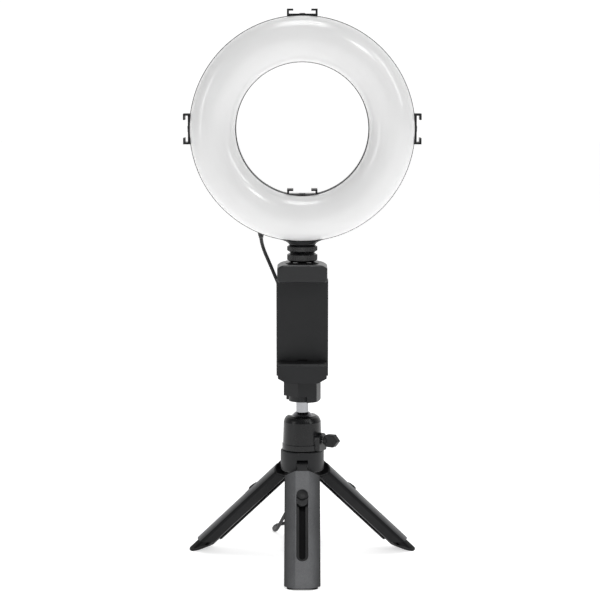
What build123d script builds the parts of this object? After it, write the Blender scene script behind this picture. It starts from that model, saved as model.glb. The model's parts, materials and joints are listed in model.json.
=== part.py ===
from build123d import *
import os
from math import acos, atan2, cos, degrees, pi, radians, sin, sqrt, tan

# Small ring light on a ball-head table tripod, with a sprung phone holder between them.
# Millimetres, +Z up, the camera side at -Y. The hub's axis is the working axis while the
# parts are made; every part is moved to the final origin when it is written.

# ---- driving sizes ----
RING_R = 79.15            # outer radius of the light ring
RING_HOLE_R = 46.5        # radius of the hole in the ring
RING_BACK = 13.0          # depth of the ring's housing
DIFFUSER_H = 13.0         # how far the diffuser bulges in front of the housing
GRIP_GAP = 57.8           # narrowest phone the holder closes on
JAW_TRAVEL = 27.0         # how much further the holder opens
JAW_W = 35.2              # width of the jaws
BACK_W = 36.7             # width of the holder's back
BALL_R = 8.5              # radius of the head's ball
COLLAR_R = 15.5           # radius of the hub and of the closed legs
LEG_LEN = 99.0            # hinge pin to the end of a leg's shell
SIDE_OUT = 11.0           # how far the side legs are pulled out as the light stands
SIDE_ANGLE = 47.5         # the legs' open stop, in degrees from closed
CORD_D = 2.6              # diameter of the power cord

# ---- standards ----
THREAD_R = 3.175          # 1/4 inch photographic thread
SHOE_SLOT_W = 18.6        # accessory shoe, inside width (ISO 518)
SHOE_SLOT_H = 2.1
SHOE_GAP = 12.6           # accessory shoe, opening between the lips

# ---- clearances ----
RUN = 0.05                # radial running clearance of a shaft in a hole
SLIDE = 0.15              # gap beside a sliding piece
FACE = 0.1                # gap between faces that turn or slide on each other

# ---- hub and legs ----
PIVOT_R = COLLAR_R - 5.0  # hinge pins' distance from the hub's axis
PIN_R = 1.25
PIN_L = 12.6
LUG_R = 4.2
LUG_W = 7.4
NOTCH_W = 7.8
NOTCH_R = PIVOT_R - 5.0
COLLAR_DROP = 4.55        # collar's lower face below the hinge pins
NOTCH_RISE = 4.75         # top of the collar's notches above the hinge pins
COLLAR_RISE = 10.0        # collar's top above the hinge pins
LEG_SIDE_GAP = 0.25       # half the gap between two closed legs
FLAT_DROP = 0.76          # how deep the outer flat is cut into the round of a leg
APEX_R = 3.4
WALL = 1.3
ROOT_CLEAR = 7.0          # the leg's body keeps this far from the hinge pin
ROOT_BAND = 0.9           # band of the dark root seen above the shell
WINDOW_W = 8.3
WINDOW_TOP = 21.8
WINDOW_END = LEG_LEN - 21.0
SLOT_W = 4.4
RAIL_T = 1.2
FOOT_INSET = 1.6
BUTTON_S = 26.0           # button's place along a closed leg
BUTTON_R = 3.95
BUTTON_PROUD = 1.5
BUTTON_PRESS = 0.8
SLIDER_TAIL = 9.1         # slider's tail below the button's centre
LEG_TRAVEL = WINDOW_END - BUTTON_S - SLIDER_TAIL - 0.9
SOLE_R = 14.0             # radius of the rocker-shaped sole
SOLE_O = 8.5              # centre of that radius, outwards of the hinge pin
SOLE_T = 2.2
CUT_ANGLE = 40.0          # slope of the shell's open end

# ---- ball head ----
HEAD_GAP = 0.6
LIP_R = 14.35
LIP_H = 3.9
BASE_R = 11.5
RIM_R = 10.0
RIM_IN_R = 7.1
SHOULDER_R = 13.3
BALL_RISE = 19.6          # ball's centre above the housing's lower face
RIM_RISE = 24.4
STUD_R = 4.35
STUD_LEN = 15.1           # ball's centre to the stud's shoulder
BALL_FLAT = 7.0
SLOT_ANGLE = 150.0        # drop slot's direction about +Z from +X
KNOB_ANGLE = -30.0        # lock knob's direction
KNOB_RISE = 7.7           # knob's axis above the housing's lower face
BOSS_R = 5.0
BOSS_FACE = 17.0
SCREW_R = 1.5

# ---- platform nut and phone holder ----
NUT_RC = 13.8
NUT_H = 15.2
NUT_TURN = -42.6
STEP_R = 9.6
STEP_H = 4.3
LOWER_H = 13.6
LOWER_TAPER = 3.4
LOWER_FOOT_W = 22.0
UPPER_H = 12.4
JAW_FRONT = -19.5
BACK_FRONT = -6.0
BACK_REAR = 9.0
ROD_R = 1.5
ROD_X = 14.0
CLAMP_SHOE_W = 23.0
CLAMP_SHOE_H = 4.7
GRIP_T = 1.2
RIB_PITCH = 1.4
GROOVE_W = 0.6

# ---- lock nuts, neck and ring ----
LOCK_R = 10.7
LOWER_NUT_H = 6.6
UPPER_NUT_H = 5.7
NECK_R = 9.6
NECK_H = 2.2
NECK_FLARE_R = 20.0
INSERT_R = 4.6
SOCKET_R = 5.9
RING_WALL = 1.6
SHOE_OUT_W = 21.4
SHOE_LIP_T = 1.3
SHOE_BASE_T = 1.6
SHOE_SINK = 0.65

# ---- positions that follow ----
FLAT_O = COLLAR_R - FLAT_DROP - PIVOT_R
SOLE_S = LEG_LEN - sqrt(SOLE_R**2 - (SOLE_O - FLAT_O + FOOT_INSET) ** 2) - 0.1
PIVOT_Z = (
    (SOLE_S + SIDE_OUT) * cos(radians(SIDE_ANGLE)) - SOLE_O * sin(radians(SIDE_ANGLE)) + SOLE_R
)
FRONT_ANGLE = degrees(
    acos((PIVOT_Z - SOLE_R) / sqrt(SOLE_S**2 + SOLE_O**2)) - atan2(SOLE_O, SOLE_S)
)
COLLAR_Z = PIVOT_Z - COLLAR_DROP
COLLAR_TOP = PIVOT_Z + COLLAR_RISE
HEAD_Z = COLLAR_TOP + HEAD_GAP
BALL_Z = HEAD_Z + BALL_RISE
RIM_Z = HEAD_Z + RIM_RISE
KNOB_Z = HEAD_Z + KNOB_RISE
NUT_Z = BALL_Z + STUD_LEN + FACE
LOWER_Z = NUT_Z + NUT_H + FACE
GRIP_Z = LOWER_Z + LOWER_H
JAW_Z = GRIP_Z + GRIP_GAP
JAW_TOP = JAW_Z + UPPER_H
SHOE_TOP = JAW_TOP + 0.4
LOWER_NUT_Z = SHOE_TOP + FACE
UPPER_NUT_Z = LOWER_NUT_Z + LOWER_NUT_H + FACE
NECK_Z = UPPER_NUT_Z + UPPER_NUT_H + FACE
RING_Z = NECK_Z + NECK_H + RING_R
RING_FRONT = -RING_BACK / 2 + 0.5
RING_REAR = RING_FRONT + RING_BACK
LEGS = {
    "front": (180.0, FRONT_ANGLE, 0.0),
    "left": (60.0, SIDE_ANGLE, SIDE_OUT),
    "right": (-60.0, SIDE_ANGLE, SIDE_OUT),
}


def up(z):
    return Pos(0, 0, z)


def disc(radius, height, z=0.0):
    return Pos(0, 0, z) * Cylinder(radius, height, align=(Align.CENTER, Align.CENTER, Align.MIN))


def block(x_size, y_size, z_size, x=0.0, y=0.0, z=0.0):
    """Box standing on z, centred on x and y."""
    low = (Align.CENTER, Align.CENTER, Align.MIN)
    return Pos(x, y, z) * Box(x_size, y_size, z_size, align=low)


def span_box(low, high):
    """Box between two opposite corners."""
    size = [b - a for a, b in zip(low, high)]
    return Pos(*low) * Box(*size, align=(Align.MIN, Align.MIN, Align.MIN))


def lathe(points):
    """Solid turned about Z from a closed outline of (radius, z) points."""
    return revolve(Plane.XZ * make_face(Polyline(*points, close=True)), Axis.Z)


def side_prism(points, half_width):
    """Prism across a leg from a closed outline of (outwards, along) points."""
    face = Plane.YZ * make_face(Polyline(*[(o, -s) for o, s in points], close=True))
    return extrude(face, half_width, both=True)


def cross_bar(radius, length, x=0.0, y=0.0, z=0.0):
    """Round bar along X."""
    return Pos(x, y, z) * Rot(0, 90, 0) * Cylinder(radius, length)


def y_bar(radius, length, x=0.0, y=0.0, z=0.0):
    """Round bar along Y."""
    return Pos(x, y, z) * Rot(90, 0, 0) * Cylinder(radius, length)


# ------------------------------------------------------------------ hub
def hub_collar():
    body = chamfer(disc(COLLAR_R, COLLAR_TOP - COLLAR_Z, COLLAR_Z).edges(), 0.5)
    body += disc(9.0, HEAD_GAP - FACE, COLLAR_TOP)
    notch_h = COLLAR_DROP + NOTCH_RISE
    for azimuth, _, _ in LEGS.values():
        notch = span_box((-NOTCH_W / 2, NOTCH_R, COLLAR_Z - 1), (NOTCH_W / 2, 30, COLLAR_Z + notch_h))
        body -= Rot(0, 0, azimuth) * notch
    body -= leg_hinge_pins()
    body -= disc(2.5, 40, COLLAR_Z + 1.5)
    return body


def leg_hinge_pins():
    pins = [
        Rot(0, 0, azimuth) * cross_bar(PIN_R, PIN_L, 0, PIVOT_R, PIVOT_Z)
        for azimuth, _, _ in LEGS.values()
    ]
    return Compound(pins)


def swivel_screw():
    head_z = HEAD_Z + LIP_H + FACE
    screw = disc(2.5, head_z - COLLAR_Z - 1.5, COLLAR_Z + 1.5)
    screw += disc(4.5, 2.2, head_z)
    return screw


# ------------------------------------------------------------------ legs
# A leg is made closed, with its hinge pin at the origin: X across, Y outwards, -Z along.
def wedge(inset, flat, apex):
    """Cross-section of a closed leg, a third of a circle, pulled in by inset."""
    outer_r = COLLAR_R - inset
    gap = LEG_SIDE_GAP + inset
    tip_y = -PIVOT_R + gap / sin(radians(60))
    reach = 3 * COLLAR_R
    across = reach * sin(radians(60))
    sector = make_face(
        Polyline((0, tip_y), (across, tip_y + reach / 2), (-across, tip_y + reach / 2), close=True)
    )
    section = Pos(0, -PIVOT_R) * Circle(outer_r) & sector
    band = Pos(0, (flat + apex) / 2) * Rectangle(4 * COLLAR_R, flat - apex)
    section = section & band
    corners = section.vertices().sort_by(Axis.X)
    return fillet([corners[0], corners[-1]], 1.6 - inset / 2)


def leg_bar(inset, flat, apex, start, end):
    return Pos(0, 0, -end) * extrude(wedge(inset, flat, apex), end - start)


def round_window(width, start, end, low, high):
    """Slot with round ends through a leg's outer face."""
    length = end - start
    face = Plane.XZ * Pos(0, -(start + end) / 2) * SlotOverall(length, width, rotation=90)
    return Pos(0, high, 0) * extrude(face, high - low)


def leg_shell():
    apex = APEX_R - PIVOT_R
    start = ROOT_CLEAR + ROOT_BAND
    shell = leg_bar(0, FLAT_O, apex, 0, LEG_LEN)
    shell -= leg_bar(WALL, FLAT_O - WALL, apex - 5, -1, LEG_LEN + 1)
    shell -= round_window(WINDOW_W, WINDOW_TOP, WINDOW_END, -1, 9)
    shell -= cross_bar(start, 60)
    shell -= span_box((-20, -12, -start), (20, 0, 1))
    return shell & shell_outline()


def shell_outline():
    """Side outline of the shell, with its slanted open end and round inner corner."""
    slope = tan(radians(CUT_ANGLE))
    inner_s = LEG_LEN - (FLAT_O + 12) * slope
    outline = [(-12, 0), (6, 0), (6, LEG_LEN + (6 - FLAT_O) * slope), (-12, inner_s)]
    prism = side_prism(outline, 20)
    corner = [edge for edge in prism.edges() if abs(edge.center().Y + 12) < 0.1]
    low = sorted(corner, key=lambda edge: edge.center().Z)[0]
    return fillet(low, 8.0)


def leg_root():
    """Dark root: hinge lug, band above the shell, plug inside it and the slotted rail."""
    apex = APEX_R - PIVOT_R
    band_end = ROOT_CLEAR + ROOT_BAND
    web = span_box((-LUG_W / 2, -LUG_R, -band_end), (LUG_W / 2, FLAT_O, 0))
    body = leg_bar(0.35, FLAT_O - 0.3, apex + 0.3, 0, band_end + 4)
    body -= cross_bar(ROOT_CLEAR, 60)
    body -= span_box((-20, -12, -ROOT_CLEAR), (20, 0, 1))
    keep = cross_bar(band_end, 60) + span_box((-20, -12, -band_end), (20, 0, 1))
    band = body & keep
    plug = leg_bar(WALL, FLAT_O - WALL, apex + 1.2, 0, BUTTON_S - 9)
    plug -= cross_bar(ROOT_CLEAR, 60)
    plug -= span_box((-20, -12, -ROOT_CLEAR), (20, 0, 1))
    rail_o = FLAT_O - WALL
    rail = span_box((-7.5, rail_o - RAIL_T, -WINDOW_END - 1.8), (7.5, rail_o, -12))
    rail -= round_window(SLOT_W, WINDOW_TOP + 2, WINDOW_END - 2, -1, 9)
    lug = cross_bar(LUG_R, LUG_W)
    rail = rail & leg_bar(WALL, rail_o, apex, 0, LEG_LEN)
    root = band + plug + rail + (web & keep) + lug
    return root - cross_bar(PIN_R + RUN, 40)


def inner_section(flat, start, end):
    inset = WALL + SLIDE
    return leg_bar(inset, flat, APEX_R - PIVOT_R + 1.2, start, end)


def foot_profile(radius):
    """Side outline of the foot: straight down to the sole's round end."""
    turn_s = SOLE_S + 2
    heel_o = SOLE_O - sqrt(radius**2 - 4)
    outline = [(-9, 10), (6, 10), (6, turn_s), (heel_o, turn_s), (-9, turn_s - 9)]
    return side_prism(outline, 20) + cross_bar(radius, 40, 0, SOLE_O, -SOLE_S)


def inner_leg():
    slim_flat = FLAT_O - WALL - RAIL_T - SLIDE
    foot_start = WINDOW_END + 2.2
    body = inner_section(slim_flat, BUTTON_S - 8.5, foot_start + 1)
    body += inner_section(FLAT_O - FOOT_INSET, foot_start, LEG_LEN + 6)
    body = body & foot_profile(SOLE_R - SOLE_T)
    groove = span_box((6.2, -1.6, -LEG_LEN + 4), (20, 0.0, -foot_start - 2))
    groove = Rot(0, 0, -30) * groove
    return body - groove - mirror(groove, Plane.YZ) - button_bore()


def sole_pad():
    foot = inner_section(FLAT_O - FOOT_INSET, WINDOW_END + 2.2, LEG_LEN + 6)
    foot = foot & foot_profile(SOLE_R)
    return foot - foot_profile(SOLE_R - SOLE_T)


def button_bore():
    depth = BUTTON_PRESS + 3.6
    return y_bar(1.5 + RUN, 2 * depth, 0, FLAT_O - WALL, -BUTTON_S)


def slider():
    """Carriage in the window, fixed to the inner leg through the slot."""
    floor = FLAT_O - WALL + FACE
    end = BUTTON_S + SLIDER_TAIL
    start = BUTTON_S - BUTTON_R - 0.1
    width = WINDOW_W - 2 * SLIDE
    plate = round_window(width, start, end, floor, floor + 0.5)
    tail = round_window(width, start, end, floor, FLAT_O + 0.35)
    tail -= y_bar(BUTTON_R + 0.15, 20, 0, FLAT_O, -BUTTON_S)
    tail -= span_box((-9, floor - 1, -BUTTON_S), (9, 20, 0))
    neck_low = FLAT_O - WALL - RAIL_T - SLIDE
    neck = round_window(SLOT_W - 2 * SLIDE, start + 2.3, end - 2.2, neck_low, floor + 0.2)
    body = plate + tail + neck
    return body - button_bore()


def button():
    top = FLAT_O + BUTTON_PROUD
    floor = FLAT_O - WALL + FACE + 0.5
    low = floor + BUTTON_PRESS + 0.05
    cap = y_bar(BUTTON_R, top - low, 0, (top + low) / 2, -BUTTON_S)
    rim = cap.edges().sort_by(Axis.Y)[-1]
    cap = fillet(rim, 0.5)
    cap -= Pos(0, top + 11.4, -BUTTON_S) * Sphere(12.0)
    stem_low = FLAT_O - WALL - 2.6
    cap += y_bar(1.5, low + 0.3 - stem_low, 0, (low + 0.3 + stem_low) / 2, -BUTTON_S)
    return cap


def place_leg(shape, name, moves_out):
    azimuth, angle, out = LEGS[name]
    shift = Pos(0, 0, -out if moves_out else 0.0)
    return Rot(0, 0, azimuth) * Pos(0, PIVOT_R, PIVOT_Z) * Rot(angle, 0, 0) * shift * shape


# ------------------------------------------------------------------ ball head
def radial(shape, angle, z):
    """Turns a shape made along +X to the given direction about Z."""
    return Pos(0, 0, z) * Rot(0, 0, angle) * shape


def ball_housing():
    body = lathe(
        [
            (0, HEAD_Z),
            (LIP_R, HEAD_Z),
            (LIP_R, HEAD_Z + LIP_H),
            (LIP_R - 0.5, HEAD_Z + LIP_H + 0.3),
            (SHOULDER_R, RIM_Z - 4.6),
            (SHOULDER_R - 0.5, RIM_Z - 3.0),
            (SHOULDER_R - 1.5, RIM_Z - 1.3),
            (RIM_R, RIM_Z),
            (0, RIM_Z),
        ]
    )
    boss = span_box((0, -BOSS_R, -KNOB_RISE), (BOSS_FACE, BOSS_R, 0))
    boss += cross_bar(BOSS_R, BOSS_FACE, BOSS_FACE / 2)
    body += radial(boss, KNOB_ANGLE, KNOB_Z)
    body -= disc(BASE_R, LIP_H, HEAD_Z)
    body -= disc(BALL_R + RUN, BALL_RISE - LIP_H + 0.01, HEAD_Z + LIP_H - 0.01)
    body -= up(BALL_Z) * Sphere(BALL_R + RUN)
    body -= disc(RIM_IN_R, 20, BALL_Z + 3)
    body -= drop_slot()
    screw_hole = cross_bar(SCREW_R + RUN, 30, 15)
    return body - radial(screw_hole, KNOB_ANGLE, KNOB_Z)


def drop_slot():
    half = STUD_R + 0.4
    slot = cross_bar(half, 20, 10) + span_box((0, -half, 0), (20, half, 20))
    return radial(slot, SLOT_ANGLE, BALL_Z)


def housing_base():
    return disc(BASE_R, LIP_H, HEAD_Z) - disc(2.5 + RUN, 20, HEAD_Z - 5)


def pressure_cup():
    low = HEAD_Z + LIP_H + FACE + 2.2 + FACE
    top = BALL_Z - STUD_R - 0.75
    cup = disc(BALL_R - 0.2, top - low, low)
    return cup - up(BALL_Z) * Sphere(BALL_R + RUN)


def lock_screw():
    start = BALL_R - 0.05
    end = BOSS_FACE + 5.0
    screw = cross_bar(SCREW_R, end - start, (end + start) / 2)
    return radial(screw, KNOB_ANGLE, KNOB_Z)


def lock_knob():
    near = BOSS_FACE + 2.2
    far = near + 10.8
    half = 4.4
    outline = [(near, -2.6), (near + 1.5, -half), (far - 3.6, -half), (far, 0)]
    outline += [(far - 3.6, half), (near + 1.5, half), (near, 2.6)]
    face = Plane.XZ * make_face(Polyline(*outline, close=True))
    paddle = extrude(face, 2.6, both=True)
    paddle = fillet(paddle.edges().filter_by(Axis.Y), 0.5)
    paddle = chamfer(paddle.faces().filter_by(Axis.Y).edges(), 0.5)
    knob = paddle + cross_bar(3.4, 2.4, near + 0.7)
    knob -= cross_bar(SCREW_R, 20, BOSS_FACE + 5.0 - 10)
    return radial(knob, KNOB_ANGLE, KNOB_Z)


def ball():
    body = up(BALL_Z) * Sphere(BALL_R)
    body -= disc(20, 20, BALL_Z + BALL_FLAT)
    return body - disc(3.0, 20, BALL_Z - 1)


def ball_stud():
    top = LOWER_Z + 8.2
    stud = disc(3.0, BALL_FLAT + 1, BALL_Z - 1)
    stud += disc(STUD_R, STUD_LEN - BALL_FLAT, BALL_Z + BALL_FLAT)
    stud += disc(THREAD_R, top - BALL_Z - STUD_LEN, BALL_Z + STUD_LEN)
    return stud


# ------------------------------------------------------------------ platform nut and holder
def platform_nut():
    nut = Rot(0, 0, NUT_TURN) * extrude(RegularPolygon(NUT_RC, 6), NUT_H)
    flat_r = NUT_RC * cos(pi / 6)
    slope = NUT_RC - flat_r + 0.3
    round_off = lathe(
        [
            (0, 0),
            (flat_r + 0.6, 0),
            (NUT_RC + 0.3, slope * 0.35),
            (NUT_RC + 0.3, NUT_H - slope * 0.7),
            (flat_r - 0.3, NUT_H),
            (0, NUT_H),
        ]
    )
    nut = nut & round_off
    sector = Polyline((0, 0), (9, -30), (-30, -30), (-30, 10), close=True)
    step = extrude(make_face(sector), STEP_H) - disc(STEP_R, STEP_H)
    nut -= step
    nut -= disc(THREAD_R + RUN, 40, -5)
    return up(NUT_Z) * nut


def holder_frame():
    """Lower jaw with the stud's socket, and the hollow back that guides the upper jaw."""
    half = JAW_W / 2
    foot = LOWER_FOOT_W / 2
    outline = [(-foot, 0), (foot, 0), (half - 0.4, LOWER_TAPER), (half, LOWER_H)]
    outline += [(-half, LOWER_H), (-half + 0.4, LOWER_TAPER)]
    face = Plane.XZ * make_face(Polyline(*outline, close=True))
    jaw = Pos(0, BACK_REAR, LOWER_Z) * extrude(face, BACK_REAR - JAW_FRONT)
    jaw = fillet(jaw.edges().filter_by(Axis.Y).group_by(Axis.Z)[0], 1.6)
    front = jaw.faces().sort_by(Axis.Y)[0]
    jaw = chamfer(front.edges().sort_by(Axis.Z)[-1], 1.4)
    back_h = JAW_Z - FACE - LOWER_Z - LOWER_TAPER
    back = block(BACK_W, BACK_REAR - BACK_FRONT, back_h, 0, (BACK_REAR + BACK_FRONT) / 2)
    back = fillet(back.edges().filter_by(Axis.Z), 1.2)
    body = jaw + up(LOWER_Z + LOWER_TAPER) * back
    body -= spring_cavity(0)
    for x in (-ROD_X, ROD_X):
        body -= disc(ROD_R + RUN, 60, 0).moved(Pos(x, 1.5, GRIP_Z + 4))
    body -= disc(5.0, 9.0, LOWER_Z + 0.3)
    body -= disc(THREAD_R + RUN, 2, LOWER_Z - 1)
    body -= lower_grip_block()
    notch = span_box((-3.5, BACK_FRONT - 1, GRIP_Z), (3.5, BACK_FRONT + 1.2, GRIP_Z + 1.4))
    return body - notch


def spring_cavity(shrink):
    low = GRIP_Z + 2.5
    return span_box(
        (-10 + shrink, -2.8 + shrink, low), (10 - shrink, 5.8 - shrink, JAW_Z + shrink)
    )


def lower_insert():
    return disc(5.0, 9.0, LOWER_Z + 0.3) - disc(THREAD_R + RUN, 20, LOWER_Z - 5)


def lower_grip_block():
    return span_box(
        (-JAW_W / 2 + 1, JAW_FRONT + 2.2, GRIP_Z - GRIP_T), (JAW_W / 2 - 1, BACK_FRONT, GRIP_Z + 1)
    )


def ribs(x_half, y_low, y_high, z_low, depth):
    """Cutters that leave ribs along Y in the face of a grip pad."""
    count = int(2 * x_half / RIB_PITCH) - 1
    start = -(count - 1) * RIB_PITCH / 2
    groove = GROOVE_W / 2
    cutters = [
        span_box((x - groove, y_low, z_low), (x + groove, y_high, z_low + depth))
        for x in [start + n * RIB_PITCH for n in range(count)]
    ]
    return Compound(cutters)


def lower_grip():
    half = JAW_W / 2 - 1
    pad = span_box((-half, JAW_FRONT + 2.2, GRIP_Z - GRIP_T), (half, BACK_FRONT, GRIP_Z))
    return pad - ribs(half, JAW_FRONT + 2.2, BACK_FRONT, GRIP_Z - 0.5, 1)


def jaw_outline():
    """Front view of the upper jaw: flat top, shoulders curving down to the sides."""
    half = JAW_W / 2
    top_half = 11.4
    side_h = UPPER_H - 2.6
    line = Polyline((top_half, UPPER_H), (-top_half, UPPER_H))
    left = ThreePointArc((-top_half, UPPER_H), (-15.2, UPPER_H - 0.85), (-half, side_h))
    right = ThreePointArc((half, side_h), (15.2, UPPER_H - 0.85), (top_half, UPPER_H))
    cut = 1.2
    low = Polyline(
        (-half, side_h), (-half, cut), (-half + cut, 0), (half - cut, 0), (half, cut), (half, side_h)
    )
    return make_face(Curve() + [line, left, low, right])


def upper_jaw():
    body = Pos(0, BACK_REAR, JAW_Z) * extrude(Plane.XZ * jaw_outline(), BACK_REAR - JAW_FRONT)
    front = body.faces().sort_by(Axis.Y)[0]
    body = chamfer(front.edges(), 0.8)
    body -= clamp_shoe_block()
    body -= span_box((-16, JAW_FRONT + 2.2, JAW_Z - 1), (16, BACK_FRONT - 0.5, JAW_Z + GRIP_T))
    for x in (-ROD_X, ROD_X):
        body -= disc(ROD_R, 7, 0).moved(Pos(x, 1.5, JAW_Z - 0.5))
    body -= span_box((-9.8, -2.6, JAW_Z - 1), (9.8, 5.6, JAW_Z + 3))
    return body


def clamp_shoe_block():
    half = CLAMP_SHOE_W / 2
    low = SHOE_TOP - CLAMP_SHOE_H
    return span_box((-half, -9, low), (half, BACK_REAR + 1, SHOE_TOP + 2))


def clamp_shoe():
    half = CLAMP_SHOE_W / 2
    low = SHOE_TOP - CLAMP_SHOE_H
    body = span_box((-half, -9, low), (half, BACK_REAR, SHOE_TOP))
    slot_low = SHOE_TOP - SHOE_LIP_T - SHOE_SLOT_H
    body -= span_box(
        (-SHOE_SLOT_W / 2, -8, slot_low), (SHOE_SLOT_W / 2, BACK_REAR + 1, slot_low + SHOE_SLOT_H)
    )
    return body - span_box((-SHOE_GAP / 2, -8, slot_low), (SHOE_GAP / 2, BACK_REAR + 1, SHOE_TOP + 1))


def upper_grip():
    pad = span_box((-16, JAW_FRONT + 2.2, JAW_Z), (16, BACK_FRONT - 0.5, JAW_Z + GRIP_T))
    return pad - ribs(16, JAW_FRONT + 2.2, BACK_FRONT - 0.5, JAW_Z - 0.5, 1)


def guide_rods():
    length = GRIP_GAP - 4 - 6 + 6.5
    low = JAW_Z + 6.5 - length
    return Compound([disc(ROD_R, length, 0).moved(Pos(x, 1.5, low)) for x in (-ROD_X, ROD_X)])


def jaw_tongue():
    low = JAW_Z - JAW_TRAVEL - 3
    return span_box((-9.8, -2.6, low), (9.8, 5.6, JAW_Z + 3))


def holder_springs():
    low = GRIP_Z + 2.5
    high = JAW_Z - JAW_TRAVEL - 3
    wire = 0.4
    mean_r = 2.6
    turns = 10
    height = high - low - 2 * wire
    path = Helix(height / turns, height, mean_r)
    section = Plane(path @ 0, z_dir=path % 0) * Circle(wire)
    coil = sweep(section, path=path, is_frenet=True)
    coil = up(low + wire) * coil
    return Compound([Pos(x, 1.5, 0) * coil for x in (-5.0, 5.0)])


def shoe_adapter():
    """Sliding foot with the threaded stud that carries the lock nuts and the ring."""
    low = SHOE_TOP - SHOE_LIP_T - SHOE_SLOT_H + 0.05
    half = SHOE_SLOT_W / 2 - 0.1
    foot = span_box((-half, -7.9, low), (half, BACK_REAR, low + SHOE_SLOT_H - 0.2))
    return foot + disc(THREAD_R, NECK_Z + 5.5 - low - 1, low + 1)


# ------------------------------------------------------------------ lock nuts
def knurled_nut(height, z):
    teeth = 44
    outer = LOCK_R
    depth = 0.45
    points = []
    for n in range(teeth):
        mid = 2 * pi * n / teeth
        half = pi / teeth
        points.append((outer * cos(mid), outer * sin(mid)))
        points.append(((outer - depth) * cos(mid + half), (outer - depth) * sin(mid + half)))
    blank = extrude(make_face(Polyline(*points, close=True)), height)
    waist = LOCK_R - 2.2
    rise = 1.5
    round_off = lathe(
        [(0, 0), (waist, 0), (outer, rise), (outer, height - rise), (waist, height), (0, height)]
    )
    return up(z) * ((blank & round_off) - disc(THREAD_R + RUN, 40, -5))


# ------------------------------------------------------------------ ring
def ring_tube(inner, outer, low_y, high_y):
    """Flat ring about the light's axis, which runs along Y."""
    face = Plane.XZ * (Circle(outer) - Circle(inner))
    return Pos(0, high_y, RING_Z) * extrude(face, high_y - low_y)


def ring_housing():
    round_r = 2.6
    body = ring_tube(RING_HOLE_R, RING_R, RING_FRONT, RING_REAR)
    rear = body.edges().filter_by(GeomType.CIRCLE).group_by(Axis.Y)[-1]
    body = fillet(rear, round_r)
    body -= ring_tube(
        RING_HOLE_R + RING_WALL, RING_R - RING_WALL, RING_FRONT - 1, RING_REAR - RING_WALL
    )
    neck = neck_blank() - ring_tube(0.1, RING_R - 0.4, -40, 40)
    socket = disc(SOCKET_R, 6.6, NECK_Z)
    body += neck + socket
    body -= disc(INSERT_R, 5.8, NECK_Z)
    for angle in SHOE_ANGLES:
        body -= on_rim(angle, shoe_blank())
    body -= on_inner_rim(shoe_blank())
    body -= shoe_screws()
    for x, z in BUTTON_PLACES:
        body -= y_bar(BACK_BUTTON_R + RUN, 10, x, RING_REAR, z)
    body -= gland_hole()
    for x, z in screw_places():
        body -= y_bar(1.0, 4, x, RING_REAR, z)
    return body


def neck_blank():
    drop = RING_Z - sqrt(RING_R**2 - NECK_FLARE_R**2)
    outline = lathe(
        [
            (0, NECK_Z),
            (NECK_R, NECK_Z),
            (NECK_R + 0.3, NECK_Z + 0.8),
            (NECK_R + 2.2, NECK_Z + 2.0),
            (NECK_R + 5.5, NECK_Z + 3.4),
            (NECK_FLARE_R, drop + 0.6),
            (0, drop + 0.6),
        ]
    )
    return outline & span_box((-30, -NECK_R, 0), (30, NECK_R, RING_Z))


def diffuser_profile(thickness):
    mid = (RING_R + RING_HOLE_R) / 2
    half = (RING_R - RING_HOLE_R) / 2 - 0.4 - thickness
    height = DIFFUSER_H - thickness
    dome = Pos(mid, RING_FRONT) * Ellipse(half, height)
    return dome & Pos(mid, RING_FRONT - 25) * Rectangle(60, 50)


def diffuser():
    wall = 1.5
    shell = diffuser_profile(0) - diffuser_profile(wall)
    return up(RING_Z) * revolve(shell, Axis.Y)


def led_board():
    board = ring_tube(RING_HOLE_R + 4, RING_R - 5.5, RING_FRONT + 3, RING_FRONT + 4.6)
    return board


def leds():
    chips = []
    for row_r, count in ((RING_HOLE_R + 9, 36), (RING_R - 10, 48)):
        for n in range(count):
            angle = 360 * n / count
            chip = block(3.5, 0.9, 2.8, 0, RING_FRONT + 3 - 0.45, row_r - 1.4)
            chips.append(up(RING_Z) * Rot(0, angle, 0) * chip)
    return Compound(chips)


def neck_insert():
    return disc(INSERT_R, 5.8, NECK_Z) - disc(THREAD_R + RUN, 20, NECK_Z - 5)


SHOE_ANGLES = (0.0, 90.0, -90.0)


def on_rim(angle, shape):
    """Moves a shape made upright on z = 0 to the outside of the ring's rim."""
    return up(RING_Z) * Rot(0, angle, 0) * up(RING_R - SHOE_SINK) * shape


def on_inner_rim(shape):
    return up(RING_Z - RING_HOLE_R - SHOE_SINK) * shape


def shoe_blank():
    return block(SHOE_OUT_W, RING_BACK + 10, 10, 0, (RING_REAR + RING_FRONT) / 2)


def cold_shoe():
    height = SHOE_BASE_T + SHOE_SLOT_H + SHOE_LIP_T
    mid_y = (RING_REAR + RING_FRONT) / 2
    body = block(SHOE_OUT_W, RING_BACK, height, 0, mid_y)
    body -= block(SHOE_SLOT_W, RING_BACK + 1, SHOE_SLOT_H, 0, mid_y, SHOE_BASE_T)
    body -= block(SHOE_GAP, RING_BACK + 1, 10, 0, mid_y, SHOE_BASE_T)
    return body - disc(1.2, 10, -5)


def cold_shoes():
    shoes = [on_rim(angle, cold_shoe()) for angle in SHOE_ANGLES]
    return shoes + [on_inner_rim(cold_shoe())]


def shoe_screw():
    return disc(1.2, SHOE_BASE_T + 1.2, -1.2) + disc(2.1, 0.5, SHOE_BASE_T)


def shoe_screws():
    screws = [on_rim(angle, shoe_screw()) for angle in SHOE_ANGLES]
    return Compound(screws + [on_inner_rim(shoe_screw())])


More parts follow.
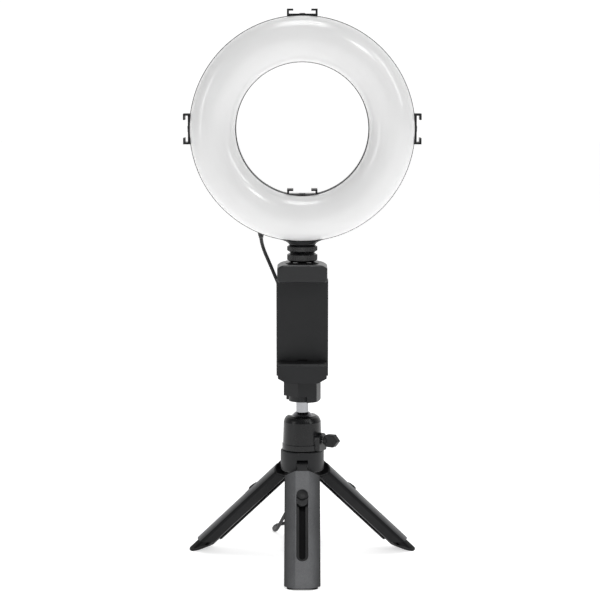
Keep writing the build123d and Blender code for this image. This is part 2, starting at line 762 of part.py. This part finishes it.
# ------------------------------------------------------------------ back of the ring
BACK_BUTTON_R = 3.2
BUTTON_RADIUS_PLACE = (RING_R + RING_HOLE_R) / 2
BUTTON_ANGLES = (-14.0, 0.0, 14.0)
SCREW_ANGLES = (30, 60, 120, 160, 210, 240, 300, 330)
BUTTON_PLACES = [
    (BUTTON_RADIUS_PLACE * sin(radians(a)), RING_Z + BUTTON_RADIUS_PLACE * cos(radians(a)))
    for a in BUTTON_ANGLES
]
GLAND_AT = Vector(-29.5, RING_REAR - RING_WALL, RING_Z - 68.5)
GLAND_DIR = Vector(0, 0.8, -0.6)
GLAND_LEN = 16.0


def back_button(index):
    x, z = BUTTON_PLACES[index]
    low = RING_REAR - RING_WALL - 1.2
    high = RING_REAR + 1.1
    body = y_bar(BACK_BUTTON_R, high - low, x, (high + low) / 2, z)
    body = fillet(body.edges().sort_by(Axis.Y)[-1], 0.5)
    return body + y_bar(BACK_BUTTON_R + 0.9, 1.0, x, low + 0.5, z)


def screw_places():
    r = RING_R - 6
    return [(r * sin(radians(a)), RING_Z + r * cos(radians(a))) for a in SCREW_ANGLES]


def housing_screws():
    screws = []
    for x, z in screw_places():
        shank = y_bar(1.0, 2.0, x, RING_REAR - 1.0, z)
        head = y_bar(2.0, 0.6, x, RING_REAR + 0.3, z)
        screws.append(shank + head)
    return Compound(screws)


def gland_frame():
    return Plane(origin=GLAND_AT, x_dir=(1, 0, 0), z_dir=GLAND_DIR)


def gland_hole():
    return gland_frame() * Pos(0, 0, 1) * Cylinder(2.9, 8)


def cable_gland():
    points = [(0, -2.4), (2.9, -2.4), (2.9, 4.6), (CORD_D / 2 + 0.35, GLAND_LEN), (0, GLAND_LEN)]
    body = revolve(Plane.XZ * make_face(Polyline(*points, close=True)), Axis.Z)
    for n in range(4):
        z = 5.6 + 2.3 * n
        body -= Pos(0, 0, z) * (Cylinder(4, 0.8) - Cylinder(1.75 - 0.12 * n, 2))
    return gland_frame() * body


# ------------------------------------------------------------------ power cord
FOLD_R = 3 * CORD_D
HANK_LOW = 22.0
HANK_RUN = 20 * CORD_D
HANK_W = 2 * FOLD_R + CORD_D
HANK_H = 4 * CORD_D
HANK_END = HANK_LOW + HANK_RUN + HANK_W
CORD_Z = CORD_D / 2 + 0.05
EXIT = GLAND_AT + GLAND_DIR.normalized() * GLAND_LEN
CORD_ROUTE = [
    tuple(EXIT),
    tuple(EXIT + GLAND_DIR * 10),
    (-25.5, 32.5, EXIT.Z - 24),
    (-15.0, 32.0, EXIT.Z - 49),
    (-4.0, 28.5, EXIT.Z - 82),
    (1.5, 25.5, EXIT.Z - 118),
    (-0.5, 28.5, EXIT.Z - 152),
    (-4.0, 40.0, EXIT.Z - 183),
    (-8.5, 57.0, EXIT.Z - 204),
    (-14.0, 76.0, EXIT.Z - 217.5),
    (-22.5, 91.0, CORD_Z),
    (-27.5, 103.0, CORD_Z),
    (-25.5, 115.0, CORD_Z),
    (-15.5, 122.5, CORD_Z),
    (-3.0, 121.0, CORD_Z),
    (5.5, 112.5, CORD_Z),
    (FOLD_R, 101.0, CORD_Z),
    (FOLD_R, HANK_END - 4, CORD_Z),
]


def bend_radii():
    """Each corner's arc: 0.45 of its shorter run over the tangent of half the turn."""
    radii = []
    points = [Vector(*point) for point in CORD_ROUTE]
    for before, here, after in zip(points, points[1:], points[2:]):
        coming = here - before
        going = after - here
        half = radians(coming.get_angle(going)) / 2
        radii.append(0.45 * min(coming.length, going.length) / tan(half))
    return radii


def cord_tube():
    path = FilletPolyline(*CORD_ROUTE, radius=bend_radii())
    section = Plane(origin=path @ 0, z_dir=path % 0) * Circle(CORD_D / 2)
    tube = sweep(section, path=path)
    print("cord tube", path.length, tube.volume / (pi * CORD_D**2 / 4 * path.length))
    print("cord radii", [round(r, 1) for r in bend_radii()])
    return tube


def cord_hank():
    length = HANK_END - HANK_LOW
    body = block(HANK_W, length, HANK_H, 0, HANK_LOW + length / 2, 0)
    body = fillet(body.edges().filter_by(Axis.Z), HANK_W * 0.42)
    body = fillet(body.edges().group_by(Axis.Z)[-1], 1.2)
    return body - hank_tie()


def hank_tie():
    mid_y = HANK_LOW + HANK_RUN * 0.42
    band = span_box((-HANK_W / 2 - 0.6, mid_y, 0), (HANK_W / 2 + 0.6, mid_y + 7, HANK_H + 0.6))
    band = fillet(band.edges().filter_by(Axis.Y).group_by(Axis.Z)[-1], 1.8)
    hole = span_box((-HANK_W / 2 + 0.3, mid_y - 1, 0.6), (HANK_W / 2 - 0.3, mid_y + 8, HANK_H - 0.3))
    hole = fillet(hole.edges().filter_by(Axis.Y), 1.4)
    return band - hole


# ------------------------------------------------------------------ plug
PLUG_AT = (0.0, HANK_LOW + 41.5, HANK_H + 3.75)


def plug_shell():
    x, y, z = PLUG_AT
    body = Pos(x, y, z) * Box(14.6, 23.0, 7.4)
    return fillet(body.edges().filter_by(Axis.Y), 1.6) - plug_contact()


def plug_contact():
    x, y, z = PLUG_AT
    outer = Pos(x, y + 23 / 2 + 3.5, z) * Box(12.0, 17.0, 4.5)
    return outer - Pos(x, y + 23 / 2 + 8.5, z + 0.9) * Box(11.2, 8.0, 1.9)


# ------------------------------------------------------------------ writing
CORD_PIECES = ("cord_tube", "cord_hank", "hank_tie", "plug_shell", "plug_contact")


def solids_of(shape):
    return list(shape) if isinstance(shape, list) else shape.solids()


def hub_offset(pieces):
    """How far the hub's axis lies behind the middle of the object's depth."""
    boxes = [
        solid.bounding_box()
        for name, shape in pieces.items()
        if name not in CORD_PIECES
        for solid in solids_of(shape)
    ]
    return -(min(box.min.Y for box in boxes) + max(box.max.Y for box in boxes)) / 2


def write(name, shape, hub_y):
    moved = [Pos(0, hub_y, 0) * solid for solid in solids_of(shape)]
    export_step(Compound(moved) if len(moved) > 1 else moved[0], "parts/" + name + ".step")


def make_all():
    pieces = {
        "hub_collar": hub_collar(),
        "leg_hinge_pins": leg_hinge_pins(),
        "swivel_screw": swivel_screw(),
        "ball_housing": ball_housing(),
        "housing_base": housing_base(),
        "pressure_cup": pressure_cup(),
        "lock_screw": lock_screw(),
        "lock_knob": lock_knob(),
        "ball": ball(),
        "ball_stud": ball_stud(),
        "platform_nut": platform_nut(),
        "holder_frame": holder_frame(),
        "lower_insert": lower_insert(),
        "lower_grip": lower_grip(),
        "holder_springs": holder_springs(),
        "upper_jaw": upper_jaw(),
        "upper_grip": upper_grip(),
        "guide_rods": guide_rods(),
        "jaw_tongue": jaw_tongue(),
        "clamp_shoe": clamp_shoe(),
        "shoe_adapter": shoe_adapter(),
        "lower_lock_nut": knurled_nut(LOWER_NUT_H, LOWER_NUT_Z),
        "upper_lock_nut": knurled_nut(UPPER_NUT_H, UPPER_NUT_Z),
        "ring_housing": ring_housing(),
        "neck_insert": neck_insert(),
        "diffuser": diffuser(),
        "led_board": led_board(),
        "leds": leds(),
        "cold_shoes": cold_shoes(),
        "shoe_screws": shoe_screws(),
        "housing_screws": housing_screws(),
        "power_button": back_button(1),
        "brighter_button": back_button(2),
        "dimmer_button": back_button(0),
        "cable_gland": cable_gland(),
        "cord_tube": cord_tube(),
        "cord_hank": cord_hank(),
        "hank_tie": hank_tie(),
        "plug_shell": plug_shell(),
        "plug_contact": plug_contact(),
    }
    leg_parts = {
        "shell": (leg_shell(), False),
        "root": (leg_root(), False),
        "inner": (inner_leg(), True),
        "sole": (sole_pad(), True),
        "slider": (slider(), True),
        "button": (button(), True),
    }
    for leg in LEGS:
        for part, (shape, moves_out) in leg_parts.items():
            pieces[f"leg_{leg}_{part}"] = place_leg(shape, leg, moves_out)
    return pieces


os.makedirs("parts", exist_ok=True)
PIECES = make_all()
HUB_Y = hub_offset(PIECES)
print("hub y", HUB_Y, "pivot z", PIVOT_Z, "front angle", FRONT_ANGLE, "ring z", RING_Z)
for piece_name, piece_shape in PIECES.items():
    write(piece_name, piece_shape, HUB_Y)
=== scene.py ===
import json
import math
import bpy
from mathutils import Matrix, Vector


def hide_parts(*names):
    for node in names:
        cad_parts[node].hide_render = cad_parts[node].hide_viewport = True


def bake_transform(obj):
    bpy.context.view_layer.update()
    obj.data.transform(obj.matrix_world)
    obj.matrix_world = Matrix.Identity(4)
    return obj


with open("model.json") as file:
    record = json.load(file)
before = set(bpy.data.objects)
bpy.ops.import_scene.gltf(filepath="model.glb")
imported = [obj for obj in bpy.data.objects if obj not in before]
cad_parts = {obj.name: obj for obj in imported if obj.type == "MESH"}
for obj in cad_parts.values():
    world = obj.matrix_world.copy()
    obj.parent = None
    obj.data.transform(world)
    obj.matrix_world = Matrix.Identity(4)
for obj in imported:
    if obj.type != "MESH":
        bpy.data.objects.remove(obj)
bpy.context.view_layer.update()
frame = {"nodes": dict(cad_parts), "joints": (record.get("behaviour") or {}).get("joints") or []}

# A small ring light on a ball-head table tripod. Metres, +Z up, the lit side at -Y.
MM = 0.001
NODES = frame["nodes"]
JOINTS = {joint["name"]: joint for joint in frame["joints"]}
HUB_Y = JOINTS["head_swivel"]["pos_m"][1]
LEGS = ("front", "left", "right")

# ------------------------------------------------------------------ camera
CAMERA_DISTANCE = 1.5     # in front of the hub's axis
CAMERA_HEIGHT = 0.38
AIM_Z = 0.185
LENS = 127.8              # in millimetres, on a sensor this wide
SENSOR_W = 36.0
SHIFT = (-0.0038, 0.0139)
VIEW_DEPTH = 50.0


def make_camera():
    data = bpy.data.cameras.new("photo_camera")
    data.lens = LENS
    data.sensor_width = SENSOR_W
    data.shift_x, data.shift_y = SHIFT
    data.clip_end = VIEW_DEPTH
    camera = bpy.data.objects.new("photo_camera", data)
    bpy.context.scene.collection.objects.link(camera)
    camera.location = (0.0, HUB_Y - CAMERA_DISTANCE, CAMERA_HEIGHT)
    aim = Vector((0.0, HUB_Y, AIM_Z)) - camera.location
    camera.rotation_euler = aim.to_track_quat("-Z", "Y").to_euler()
    bpy.context.scene.camera = camera


make_camera()


# ------------------------------------------------------------------ shared helpers
def add_object(name, data):
    piece = bpy.data.objects.new(name, data)
    bpy.context.scene.collection.objects.link(piece)
    return piece


def mesh_object(name, verts, faces, smooth=True):
    mesh = bpy.data.meshes.new(name)
    mesh.from_pydata([tuple(v) for v in verts], [], faces)
    mesh.update()
    for polygon in mesh.polygons:
        polygon.use_smooth = smooth
    return add_object(name, mesh)


# ------------------------------------------------------------------ power cord
# Millimetres, as the part's own sizes are; smooth_line turns them into metres.
CORD_D = 2.6
FOLD_R = 3 * CORD_D       # radius of the hank's inner folds
FLOOR_Z = CORD_D / 2 + 0.05
HANK_LOW = 22.0           # near end of the hank, from the hub's axis
HANK_RUN = 20 * CORD_D
HANK_TURNS = 8
LAYER = 1.02 * CORD_D     # from one layer of turns to the next
RUN_SHARES = (0.06, 0.14, 0.22, 0.3, 0.38, 0.48, 0.6, 0.78, 0.94)
FOLD_STEPS = 6
TIE_END = 50.8            # far edge of the tie, from the hub's axis
TIE_REACH = 11.0          # length over which the tie draws the runs in
TUBE_SIDES = 14
CORD_BODIES = ("ring", "jaw", "holder", "ball_stem", "head", "hub")
CORD_SPLITS = (196.0, 158.0, 122.0, 84.0)    # heights where the cord passes to the next body
# The route's points about the hub's axis, in millimetres, from the gland to the hank.
CORD_ROUTE = [
    (-29.5, 18.2, 234.14),
    (-29.5, 26.2, 228.14),
    (-22.5, 32.5, 211.14),
    (-12.5, 32.0, 187.14),
    (-4.0, 28.5, 152.14),
    (1.5, 25.5, 116.14),
    (-0.5, 28.5, 82.14),
    (-4.0, 40.0, 51.14),
    (-8.5, 57.0, 30.14),
    (-14.0, 76.0, 16.64),
    (-20.0, 91.0, FLOOR_Z),
    (-22.5, 102.0, FLOOR_Z),
    (-20.0, 113.0, FLOOR_Z),
    (-13.0, 120.0, FLOOR_Z),
    (-3.0, 121.0, FLOOR_Z),
    (5.5, 112.5, FLOOR_Z),
    (FOLD_R, 101.0, FLOOR_Z),
    (FOLD_R, 88.2, FLOOR_Z),
]


def smooth_step(share):
    share = min(max(share, 0.0), 1.0)
    return share * share * (3 - 2 * share)


def pinch(y, near):
    """How far the tie draws a run in at this place."""
    coming = smooth_step((y - near) / TIE_REACH)
    leaving = smooth_step((TIE_END + TIE_REACH - y) / TIE_REACH)
    return CORD_D * min(coming, leaving)


def turn_place(turn):
    """Fold radius and height of a turn: out and in on the first layer, in and out on the next."""
    radius = FOLD_R + CORD_D if turn % 4 in (0, 3) else FOLD_R
    return radius, FLOOR_Z + (turn // 2) * LAYER


def hank_points():
    """The hank's turns, drawn together under the tie."""
    near = HANK_LOW + FOLD_R + 1.5 * CORD_D
    far = HANK_LOW + HANK_RUN + FOLD_R + 0.5 * CORD_D
    stations = [near + share * (far - near) for share in RUN_SHARES]
    points = []
    for turn in range(HANK_TURNS):
        radius, z = turn_place(turn)
        next_radius, next_z = turn_place(turn + 1)
        for y in reversed(stations):
            points.append((radius - pinch(y, near), y, z))
        for step in range(1, FOLD_STEPS):
            angle = math.pi * step / FOLD_STEPS
            points.append((radius * math.cos(angle), near - radius * math.sin(angle), z))
        if turn == HANK_TURNS - 1:
            break
        for y in stations:
            points.append((pinch(y, near) - radius, y, z))
        for step in range(1, FOLD_STEPS):
            angle = math.pi * step / FOLD_STEPS
            r = radius + (next_radius - radius) * step / FOLD_STEPS
            rise = (next_z - z) * step / FOLD_STEPS
            points.append((-r * math.cos(angle), far + r * math.sin(angle), z + rise))
    return points


# From the last fold up over the tie and into the plug, which lies on the hank.
CORD_TAIL = [
    (-10.1, 36.5, 9.5),
    (-8.4, 40.5, 11.0),
    (-5.6, 44.0, 13.0),
    (-2.7, 47.0, 14.0),
    (-0.7, 50.0, 14.15),
    (0.0, 53.5, 14.15),
]


def smooth_line(points):
    """Points read along one NURBS spline with these control points."""
    data = bpy.data.curves.new("route", "CURVE")
    data.dimensions = "3D"
    spline = data.splines.new("NURBS")
    spline.points.add(len(points) - 1)
    for point, (x, y, z) in zip(spline.points, points):
        point.co = (x * MM, y * MM + HUB_Y, z * MM, 1.0)
    spline.order_u = 3
    spline.use_endpoint_u = True
    spline.resolution_u = 8
    route = add_object("route", data)
    mesh = bpy.data.meshes.new_from_object(route)
    line = [vertex.co.copy() for vertex in mesh.vertices]
    bpy.data.objects.remove(route)
    return line


def tube(name, line, radius):
    """Mesh tube that follows a line, its rings carried along without twist."""
    sides = TUBE_SIDES
    verts, faces = [], []
    tangents = []
    for i in range(len(line)):
        ahead = line[min(i + 1, len(line) - 1)]
        behind = line[max(i - 1, 0)]
        tangents.append((ahead - behind).normalized())
    normal = tangents[0].orthogonal().normalized()
    for i, (centre, tangent) in enumerate(zip(line, tangents)):
        normal = (normal - tangent * normal.dot(tangent)).normalized()
        side = tangent.cross(normal)
        for k in range(sides):
            angle = 2 * math.pi * k / sides
            verts.append(centre + radius * (math.cos(angle) * normal + math.sin(angle) * side))
        if i:
            base = (i - 1) * sides
            for k in range(sides):
                nxt = (k + 1) % sides
                faces.append((base + k, base + nxt, base + sides + nxt, base + sides + k))
    faces.append(tuple(reversed(range(sides))))
    last = (len(line) - 1) * sides
    faces.append(tuple(range(last, last + sides)))
    return mesh_object(name, verts, faces)


def split_line(line):
    """Cuts the cord where it passes each height on its way down."""
    parts = []
    start = 0
    for height in CORD_SPLITS:
        cut = next(i for i, p in enumerate(line) if i > start and p.z < height * MM)
        parts.append(line[start:cut + 1])
        start = cut
    parts.append(line[start:])
    return parts


def make_cord():
    """One line from the gland to the plug, as a tube for each joint that it passes."""
    parts = split_line(smooth_line(CORD_ROUTE[:-1] + hank_points() + CORD_TAIL))
    pieces = []
    for i, part in enumerate(parts):
        last = i == len(parts) - 1
        piece = tube("cord_" + CORD_BODIES[i], part, CORD_D / 2 * MM)
        if last:
            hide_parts("cord_hank", "cord_tube")
            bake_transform(piece)
        else:
            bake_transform(piece)
        pieces.append(piece)
    return pieces


CORD_PIECES = make_cord()


# ------------------------------------------------------------------ materials
NOISE_LOW = 0.3           # a noise node's values lie mostly between these
NOISE_HIGH = 0.7
TINT_SCALE = 55.0         # slow changes of tint, per metre
FINE_SHARE = 0.55         # how much of the tint follows the fine grain
BRUSH_SCALE = 160.0
BRUSH_DEPTH = 0.00003


def new_material(name):
    material = bpy.data.materials.new(name)
    material.use_nodes = True
    tree = material.node_tree
    shader = tree.nodes["Principled BSDF"]
    return material, tree, shader


def link(tree, a, b):
    tree.links.new(a, b)


def object_place(tree):
    return tree.nodes.new("ShaderNodeTexCoord").outputs["Object"]


def noise(tree, place, scale, detail=3.0, rough=0.55):
    node = tree.nodes.new("ShaderNodeTexNoise")
    node.inputs["Scale"].default_value = scale
    node.inputs["Detail"].default_value = detail
    node.inputs["Roughness"].default_value = rough
    link(tree, place, node.inputs["Vector"])
    return node.outputs["Fac"]


def ramp(tree, value, low, high):
    """Colour between low and high, from a noise value."""
    node = tree.nodes.new("ShaderNodeValToRGB")
    node.color_ramp.elements[0].position = NOISE_LOW
    node.color_ramp.elements[1].position = NOISE_HIGH
    node.color_ramp.elements[0].color = (*low, 1.0)
    node.color_ramp.elements[1].color = (*high, 1.0)
    link(tree, value, node.inputs["Fac"])
    return node.outputs["Color"]


def map_range(tree, value, from_low, from_high, to_low, to_high):
    node = tree.nodes.new("ShaderNodeMapRange")
    node.inputs["From Min"].default_value = from_low
    node.inputs["From Max"].default_value = from_high
    node.inputs["To Min"].default_value = to_low
    node.inputs["To Max"].default_value = to_high
    link(tree, value, node.inputs["Value"])
    return node.outputs["Result"]


def span(tree, value, low, high):
    """Number between low and high, from a noise value."""
    return map_range(tree, value, NOISE_LOW, NOISE_HIGH, low, high)


def scaled(tree, value, factor, added=None):
    """A value times a factor, plus another value."""
    node = tree.nodes.new("ShaderNodeMath")
    node.operation = "MULTIPLY_ADD" if added else "MULTIPLY"
    node.inputs[1].default_value = factor
    link(tree, value, node.inputs[0])
    if added:
        link(tree, added, node.inputs[2])
    return node.outputs[0]


def relief(tree, shader, height, strength, depth, edge=None):
    """Bump from a height, over edges softened by a bevel where one is given."""
    node = tree.nodes.new("ShaderNodeBump")
    node.inputs["Strength"].default_value = strength
    node.inputs["Distance"].default_value = depth
    link(tree, height, node.inputs["Height"])
    if edge:
        bevel = tree.nodes.new("ShaderNodeBevel")
        bevel.samples = 4
        bevel.inputs["Radius"].default_value = edge
        link(tree, bevel.outputs["Normal"], node.inputs["Normal"])
    link(tree, node.outputs["Normal"], shader.inputs["Normal"])


def finish(name, tint, rough, metallic=0.0, grain=900.0, bump=0.1, vary=0.12, spread=0.06,
           edge=0.0002, specular=0.32, depth=0.00008):
    """Moulded or painted surface: fine grain, slow tint changes, softened edges."""
    material, tree, shader = new_material(name)
    place = object_place(tree)
    slow = noise(tree, place, TINT_SCALE, 4.0)
    fine = noise(tree, place, grain, 2.0, 0.6)
    mixed = scaled(tree, fine, FINE_SHARE, scaled(tree, slow, 1 - FINE_SHARE))
    low = tuple(c * (1 - vary) for c in tint)
    high = tuple(min(1.0, c * (1 + vary)) for c in tint)
    link(tree, ramp(tree, mixed, low, high), shader.inputs["Base Color"])
    link(tree, span(tree, slow, rough - spread, rough + spread), shader.inputs["Roughness"])
    relief(tree, shader, fine, bump, depth, edge)
    shader.inputs["Metallic"].default_value = metallic
    shader.inputs["Specular IOR Level"].default_value = specular
    return material


def brushed(name, tint, rough, axis_scale=(1, 1, 40)):
    """Bare metal with fine lines, or with an even grain where the three scales are the same."""
    material, tree, shader = new_material(name)
    mapping = tree.nodes.new("ShaderNodeMapping")
    mapping.inputs["Scale"].default_value = axis_scale
    link(tree, object_place(tree), mapping.inputs["Vector"])
    lines = noise(tree, mapping.outputs["Vector"], BRUSH_SCALE)
    low = tuple(c * 0.85 for c in tint)
    link(tree, ramp(tree, lines, low, tint), shader.inputs["Base Color"])
    link(tree, span(tree, lines, rough * 0.8, rough * 1.3), shader.inputs["Roughness"])
    relief(tree, shader, lines, 0.12, BRUSH_DEPTH)
    shader.inputs["Metallic"].default_value = 1.0
    return material


LEG_GREY = (0.12, 0.122, 0.127)
# Painted shade: near black given to the leg shell's flanks, which face away from outwards.
FLANK_PAINTED_SHADE = (0.008, 0.0083, 0.009, 1.0)
FLANK_SHADE_FACING = 0.55       # the grey fades into painted shade where the surface turns this far from outwards
FACE_FACING = 0.92


def leg_metal_with_painted_shade(name, outward):
    """Grainy grey outer face, with painted shade on the leg's flanks: darker colour and less sheen
    where the surface turns from outwards.
    """
    material = finish(name, LEG_GREY, 0.45, grain=1600.0, bump=0.35, vary=0.32, spread=0.08,
                      edge=0.0004)
    tree = material.node_tree
    shader = tree.nodes["Principled BSDF"]
    grey = shader.inputs["Base Color"].links[0].from_socket
    facing = tree.nodes.new("ShaderNodeVectorMath")
    facing.operation = "DOT_PRODUCT"
    facing.inputs[1].default_value = outward
    link(tree, tree.nodes.new("ShaderNodeTexCoord").outputs["Normal"], facing.inputs[0])
    share = map_range(tree, facing.outputs["Value"], FLANK_SHADE_FACING, FACE_FACING, 0.0, 1.0)
    mix = tree.nodes.new("ShaderNodeMix")
    mix.data_type = "RGBA"
    mix.inputs["A"].default_value = FLANK_PAINTED_SHADE
    link(tree, share, mix.inputs["Factor"])
    link(tree, grey, mix.inputs["B"])
    link(tree, mix.outputs["Result"], shader.inputs["Base Color"])
    # The painted shade also takes metal and sheen off the flanks.
    for socket, low, high in (("Metallic", 0.0, 0.3), ("Specular IOR Level", 0.1, 0.45)):
        link(tree, map_range(tree, share, 0.0, 1.0, low, high), shader.inputs[socket])
    return material


def leg_outward(leg):
    """Direction that the leg's outer face looks in as the light stands."""
    hinge = JOINTS["leg_" + leg + "_fold"]
    slide = Vector(JOINTS["leg_" + leg + "_extend"]["axis"])
    outward = slide.cross(Vector(hinge["axis"])).normalized()
    return outward if outward.z > 0 else -outward


def diffuser_white():
    """Milky plastic with a gloss."""
    material, tree, shader = new_material("diffuser_white")
    place = object_place(tree)
    cloud = noise(tree, place, 18.0, 2.0)
    link(tree, ramp(tree, cloud, (0.8, 0.8, 0.8), (0.83, 0.83, 0.83)), shader.inputs["Base Color"])
    fine = noise(tree, place, 260.0, 2.0)
    link(tree, span(tree, fine, 0.2, 0.26), shader.inputs["Roughness"])
    relief(tree, shader, fine, 0.03, 0.0001)
    shader.inputs["Subsurface Weight"].default_value = 0.25
    shader.inputs["Subsurface Radius"].default_value = (0.004, 0.004, 0.004)
    shader.inputs["Subsurface Scale"].default_value = 1.0
    shader.inputs["Coat Weight"].default_value = 0.4
    shader.inputs["Coat Roughness"].default_value = 0.12
    return material


EVEN = (1, 1, 1)
MATERIALS = {
    "body": finish("satin_black_plastic", (0.0075, 0.008, 0.009), 0.46),
    "housing": finish("housing_satin", (0.005, 0.0053, 0.006), 0.27, grain=1300.0, bump=0.2,
                      edge=0.0003, specular=0.36),
    "jaw": finish("jaw_plastic", (0.007, 0.0075, 0.0085), 0.36, grain=1100.0, edge=0.0006,
                  specular=0.5),
    "back": finish("holder_plastic", (0.011, 0.0115, 0.0125), 0.5, grain=1200.0, bump=0.25,
                   edge=0.0003),
    # Painted shade: the inner legs' dark plastic is made darker still and dull, so that the slot
    # in the shell looks shaded.
    "painted_slot_shade": finish("leg_channel", (0.0025, 0.0025, 0.003), 0.6, specular=0.1),
    "root": finish("leg_inner_plastic", (0.007, 0.0072, 0.008), 0.48),
    "metal": finish("black_metal", (0.012, 0.012, 0.013), 0.34, metallic=0.2, grain=1500.0,
                    edge=0.00015),
    "knurl": finish("knurled_black", (0.006, 0.006, 0.007), 0.28, grain=1500.0, edge=0.0001,
                    specular=0.6),
    "rubber": finish("black_rubber", (0.01, 0.01, 0.0105), 0.75, grain=2200.0, bump=0.3,
                     specular=0.3),
    "cord": finish("cord_sheath", (0.014, 0.014, 0.015), 0.5, grain=1800.0, bump=0.15,
                   edge=0.00005),
    "board": finish("circuit_board", (0.75, 0.76, 0.72), 0.4, grain=600.0),
    "led": finish("led_phosphor", (0.85, 0.7, 0.2), 0.35, grain=1500.0),
    "chrome": brushed("bright_chrome", (0.34, 0.345, 0.36), 0.14, EVEN),
    "dark_chrome": brushed("dark_chrome", (0.17, 0.17, 0.18), 0.16, EVEN),
    "steel": brushed("brushed_steel", (0.55, 0.55, 0.57), 0.28),
    "brass": brushed("turned_brass", (0.66, 0.48, 0.2), 0.25),
    "diffuser": diffuser_white(),
}
for each_leg in LEGS:
    MATERIALS["leg_" + each_leg] = leg_metal_with_painted_shade("leg_metal_" + each_leg, leg_outward(each_leg))
FINISHES = {
    "ball": "dark_chrome", "ball_stud": "chrome", "lock_screw": "steel", "guide_rods": "steel",
    "holder_springs": "steel", "shoe_screws": "steel", "housing_screws": "steel",
    "leg_hinge_pins": "steel", "swivel_screw": "steel", "plug_contact": "steel",
    "lower_insert": "brass", "neck_insert": "brass", "lower_grip": "rubber",
    "upper_grip": "rubber", "diffuser": "diffuser", "led_board": "board", "leds": "led",
    "cold_shoes": "metal", "clamp_shoe": "metal", "shoe_adapter": "metal",
    "lower_lock_nut": "knurl", "upper_lock_nut": "knurl", "ball_housing": "housing",
    "housing_base": "housing", "holder_frame": "back", "upper_jaw": "jaw",
    "cord_tube": "cord", "cord_hank": "cord", "hank_tie": "rubber", "plug_shell": "cord",
    "cable_gland": "cord",
}
LEG_FINISHES = {
    "root": "root", "inner": "painted_slot_shade", "sole": "rubber", "slider": "body", "button": "body",
}


def paint(piece, material):
    piece.data.materials.clear()
    piece.data.materials.append(material)


def paint_nodes():
    for name, node in NODES.items():
        key = FINISHES.get(name, "body")
        if name.startswith("leg_") and name != "leg_hinge_pins":
            leg, part = name.split("_")[1:]
            key = "leg_" + leg if part == "shell" else LEG_FINISHES[part]
        paint(node, MATERIALS[key])
    for piece in CORD_PIECES:
        paint(piece, MATERIALS["cord"])


paint_nodes()


# ------------------------------------------------------------------ studio
FLOOR_HALF = 6.0
FLOOR_GLOW = 0.6          # keeps the floor white under the soft lights
WHITE = (1, 1, 1, 1)
FRONT_GLOW = 0.2          # the surroundings on the camera's side
BACK_GLOW = 1.05


def make_floor():
    corners = [(-1, -1), (1, -1), (1, 1), (-1, 1)]
    verts = [(x * FLOOR_HALF, y * FLOOR_HALF, 0) for x, y in corners]
    floor = mesh_object("studio_floor", verts, [(0, 1, 2, 3)], smooth=False)
    material, tree, shader = new_material("studio_floor")
    soft = noise(tree, object_place(tree), 2.0, 1.0)
    tint = ramp(tree, soft, (0.95, 0.95, 0.95), (0.96, 0.96, 0.96))
    link(tree, tint, shader.inputs["Base Color"])
    shader.inputs["Roughness"].default_value = 0.9
    shader.inputs["Specular IOR Level"].default_value = 0.0
    shader.inputs["Emission Color"].default_value = WHITE
    shader.inputs["Emission Strength"].default_value = FLOOR_GLOW
    paint(floor, material)


def area_light(name, at, aim, size, power, height=None):
    data = bpy.data.lights.new(name, "AREA")
    data.energy = power
    data.size = size
    if height:
        data.shape = "RECTANGLE"
        data.size_y = height
    lamp = add_object(name, data)
    lamp.location = at
    lamp.rotation_euler = (Vector(aim) - Vector(at)).to_track_quat("-Z", "Y").to_euler()


def make_world():
    """White behind the object, dimmer on the camera's side."""
    world = bpy.data.worlds.new("studio")
    bpy.context.scene.world = world
    world.use_nodes = True
    tree = world.node_tree
    background = tree.nodes["Background"]
    background.inputs["Color"].default_value = WHITE
    direction = tree.nodes.new("ShaderNodeTexCoord").outputs["Generated"]
    parts = tree.nodes.new("ShaderNodeSeparateXYZ")
    link(tree, direction, parts.inputs[0])
    strength = map_range(tree, parts.outputs["Y"], 0.0, 0.75, FRONT_GLOW, BACK_GLOW)
    link(tree, strength, background.inputs["Strength"])


def make_lights():
    make_world()
    area_light("top_light", (0.0, -0.25, 1.5), (0, 0, 0.1), 0.6, 5.5)
    area_light("key_light", (1.15, -0.75, 0.95), (0, 0, 0.25), 0.3, 3.2, 0.8)
    area_light("fill_light", (-1.15, -0.75, 0.55), (0, 0, 0.2), 0.25, 2.0, 0.8)
    area_light("front_light", (1.0, -1.6, 1.6), (0, 0, 0.3), 0.4, 5.2)
    bpy.context.scene.view_settings.view_transform = "Standard"


make_floor()
make_lights()
